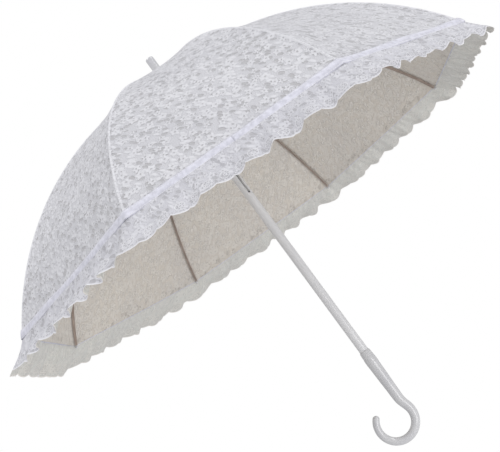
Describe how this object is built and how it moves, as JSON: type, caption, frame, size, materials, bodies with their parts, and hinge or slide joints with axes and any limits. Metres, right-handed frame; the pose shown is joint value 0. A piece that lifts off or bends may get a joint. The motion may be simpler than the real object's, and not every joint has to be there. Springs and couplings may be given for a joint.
{
  "type": "lace parasol",
  "caption": "Open lace parasol with a domed ribbed canopy, a gathered lace ruffle at the hem, a straight tube shaft, a sliding runner and a slim crook handle.",
  "frame": {"origin": "on the shaft's axis in the straight grip, 48 mm below the grip's top edge", "axes": "+Z along the shaft towards the ferrule; the hook lies in the XZ plane with its mouth towards -X"},
  "size_m": [0.8152, 0.8152, 0.6987],
  "materials": {
    "white_enamel": "glossy white enamel on a steel tube",
    "white_plastic": "glossy moulded white plastic",
    "dark_steel": "satin dark lacquer on folded steel strip",
    "spring_steel": "bright drawn steel",
    "canopy_lace": "matte white floral lace",
    "ruffle_lace": "matte white gathered lace with a scalloped edge"
  },
  "bodies": {
    "root": {"shaft_tube": "white_enamel", "ferrule_tip": "white_plastic", "canopy_cap": "white_plastic", "top_notch": "white_plastic", "notch_wire": "spring_steel", "runner_stop_pin": "spring_steel", "crook_handle": "white_plastic"},
    "runner": {"runner_sleeve": "white_plastic", "runner_wire": "spring_steel"},
    "top_spring": {"top_spring": "spring_steel"},
    "bottom_spring": {"bottom_spring": "spring_steel"},
    "rib_1": {"rib_1": "dark_steel", "rib_tip_1": "white_plastic", "canopy_section_1": "canopy_lace", "ruffle_1": "ruffle_lace"},
    "stretcher_1": {"stretcher_1": "dark_steel", "joint_rivet_1": "spring_steel"},
    "rib_2": {"rib_2": "dark_steel", "rib_tip_2": "white_plastic", "canopy_section_2": "canopy_lace", "ruffle_2": "ruffle_lace"},
    "stretcher_2": {"stretcher_2": "dark_steel", "joint_rivet_2": "spring_steel"},
    "rib_3": {"rib_3": "dark_steel", "rib_tip_3": "white_plastic", "canopy_section_3": "canopy_lace", "ruffle_3": "ruffle_lace"},
    "stretcher_3": {"stretcher_3": "dark_steel", "joint_rivet_3": "spring_steel"},
    "rib_4": {"rib_4": "dark_steel", "rib_tip_4": "white_plastic", "canopy_section_4": "canopy_lace", "ruffle_4": "ruffle_lace"},
    "stretcher_4": {"stretcher_4": "dark_steel", "joint_rivet_4": "spring_steel"},
    "rib_5": {"rib_5": "dark_steel", "rib_tip_5": "white_plastic", "canopy_section_5": "canopy_lace", "ruffle_5": "ruffle_lace"},
    "stretcher_5": {"stretcher_5": "dark_steel", "joint_rivet_5": "spring_steel"},
    "rib_6": {"rib_6": "dark_steel", "rib_tip_6": "white_plastic", "canopy_section_6": "canopy_lace", "ruffle_6": "ruffle_lace"},
    "stretcher_6": {"stretcher_6": "dark_steel", "joint_rivet_6": "spring_steel"},
    "rib_7": {"rib_7": "dark_steel", "rib_tip_7": "white_plastic", "canopy_section_7": "canopy_lace", "ruffle_7": "ruffle_lace"},
    "stretcher_7": {"stretcher_7": "dark_steel", "joint_rivet_7": "spring_steel"},
    "rib_8": {"rib_8": "dark_steel", "rib_tip_8": "white_plastic", "canopy_section_8": "canopy_lace", "ruffle_8": "ruffle_lace"},
    "stretcher_8": {"stretcher_8": "dark_steel", "joint_rivet_8": "spring_steel"}
  },
  "joints": [
    {"name": "runner_slide", "type": "slide", "parent": "root", "child": "runner", "axis": [0, 0, -1], "range_m": [0, 0.25197]},
    {"name": "rib_hinge_1", "type": "hinge", "parent": "root", "child": "rib_1", "pos_m": [0.01016, 0.00421, 0.56], "axis": [-0.3827, 0.9239, 0], "range_deg": [0, 56.6], "deforming": ["canopy_section_1", "ruffle_1"]},
    {"name": "stretcher_hinge_1", "type": "hinge", "parent": "runner", "child": "stretcher_1", "pos_m": [0.01201, 0.00498, 0.416], "axis": [0.3827, -0.9239, 0], "range_deg": [0, 46.5]},
    {"name": "rib_hinge_2", "type": "hinge", "parent": "root", "child": "rib_2", "pos_m": [0.00421, 0.01016, 0.56], "axis": [-0.9239, 0.3827, 0], "range_deg": [0, 56.6], "deforming": ["canopy_section_2", "ruffle_2"]},
    {"name": "stretcher_hinge_2", "type": "hinge", "parent": "runner", "child": "stretcher_2", "pos_m": [0.00498, 0.01201, 0.416], "axis": [0.9239, -0.3827, 0], "range_deg": [0, 46.5]},
    {"name": "rib_hinge_3", "type": "hinge", "parent": "root", "child": "rib_3", "pos_m": [-0.00421, 0.01016, 0.56], "axis": [-0.9239, -0.3827, 0], "range_deg": [0, 56.6], "deforming": ["canopy_section_3", "ruffle_3"]},
    {"name": "stretcher_hinge_3", "type": "hinge", "parent": "runner", "child": "stretcher_3", "pos_m": [-0.00498, 0.01201, 0.416], "axis": [0.9239, 0.3827, 0], "range_deg": [0, 46.5]},
    {"name": "rib_hinge_4", "type": "hinge", "parent": "root", "child": "rib_4", "pos_m": [-0.01016, 0.00421, 0.56], "axis": [-0.3827, -0.9239, 0], "range_deg": [0, 56.6], "deforming": ["canopy_section_4", "ruffle_4"]},
    {"name": "stretcher_hinge_4", "type": "hinge", "parent": "runner", "child": "stretcher_4", "pos_m": [-0.01201, 0.00498, 0.416], "axis": [0.3827, 0.9239, 0], "range_deg": [0, 46.5]},
    {"name": "rib_hinge_5", "type": "hinge", "parent": "root", "child": "rib_5", "pos_m": [-0.01016, -0.00421, 0.56], "axis": [0.3827, -0.9239, 0], "range_deg": [0, 56.6], "deforming": ["canopy_section_5", "ruffle_5"]},
    {"name": "stretcher_hinge_5", "type": "hinge", "parent": "runner", "child": "stretcher_5", "pos_m": [-0.01201, -0.00498, 0.416], "axis": [-0.3827, 0.9239, 0], "range_deg": [0, 46.5]},
    {"name": "rib_hinge_6", "type": "hinge", "parent": "root", "child": "rib_6", "pos_m": [-0.00421, -0.01016, 0.56], "axis": [0.9239, -0.3827, 0], "range_deg": [0, 56.6], "deforming": ["canopy_section_6", "ruffle_6"]},
    {"name": "stretcher_hinge_6", "type": "hinge", "parent": "runner", "child": "stretcher_6", "pos_m": [-0.00498, -0.01201, 0.416], "axis": [-0.9239, 0.3827, 0], "range_deg": [0, 46.5]},
    {"name": "rib_hinge_7", "type": "hinge", "parent": "root", "child": "rib_7", "pos_m": [0.00421, -0.01016, 0.56], "axis": [0.9239, 0.3827, 0], "range_deg": [0, 56.6], "deforming": ["canopy_section_7", "ruffle_7"]},
    {"name": "stretcher_hinge_7", "type": "hinge", "parent": "runner", "child": "stretcher_7", "pos_m": [0.00498, -0.01201, 0.416], "axis": [-0.9239, -0.3827, 0], "range_deg": [0, 46.5]},
    {"name": "rib_hinge_8", "type": "hinge", "parent": "root", "child": "rib_8", "pos_m": [0.01016, -0.00421, 0.56], "axis": [0.3827, 0.9239, 0], "range_deg": [0, 56.6], "deforming": ["canopy_section_8", "ruffle_8"]},
    {"name": "stretcher_hinge_8", "type": "hinge", "parent": "runner", "child": "stretcher_8", "pos_m": [0.01201, -0.00498, 0.416], "axis": [-0.3827, -0.9239, 0], "range_deg": [0, 46.5]},
    {"name": "top_spring_press", "type": "hinge", "parent": "root", "child": "top_spring", "pos_m": [0.00211, -0.00508, 0.3416], "axis": [-0.9239, -0.3827, 0], "range_deg": [0, 4.5], "stiffness_Nm_per_rad": 1, "deforming": ["top_spring"]},
    {"name": "bottom_spring_press", "type": "hinge", "parent": "root", "child": "bottom_spring", "pos_m": [-0.00211, 0.00508, 0.1484], "axis": [-0.9239, -0.3827, 0], "range_deg": [0, 6.5], "stiffness_Nm_per_rad": 1, "deforming": ["bottom_spring"]}
  ],
  "couplings": [
    {"joint": "rib_hinge_1", "follows": "runner_slide", "rad_per_m": 3.9136},
    {"joint": "stretcher_hinge_1", "follows": "runner_slide", "rad_per_m": 3.2135},
    {"joint": "rib_hinge_2", "follows": "runner_slide", "rad_per_m": 3.9136},
    {"joint": "stretcher_hinge_2", "follows": "runner_slide", "rad_per_m": 3.2135},
    {"joint": "rib_hinge_3", "follows": "runner_slide", "rad_per_m": 3.9136},
    {"joint": "stretcher_hinge_3", "follows": "runner_slide", "rad_per_m": 3.2135},
    {"joint": "rib_hinge_4", "follows": "runner_slide", "rad_per_m": 3.9136},
    {"joint": "stretcher_hinge_4", "follows": "runner_slide", "rad_per_m": 3.2135},
    {"joint": "rib_hinge_5", "follows": "runner_slide", "rad_per_m": 3.9136},
    {"joint": "stretcher_hinge_5", "follows": "runner_slide", "rad_per_m": 3.2135},
    {"joint": "rib_hinge_6", "follows": "runner_slide", "rad_per_m": 3.9136},
    {"joint": "stretcher_hinge_6", "follows": "runner_slide", "rad_per_m": 3.2135},
    {"joint": "rib_hinge_7", "follows": "runner_slide", "rad_per_m": 3.9136},
    {"joint": "stretcher_hinge_7", "follows": "runner_slide", "rad_per_m": 3.2135},
    {"joint": "rib_hinge_8", "follows": "runner_slide", "rad_per_m": 3.9136},
    {"joint": "stretcher_hinge_8", "follows": "runner_slide", "rad_per_m": 3.2135}
  ]
}
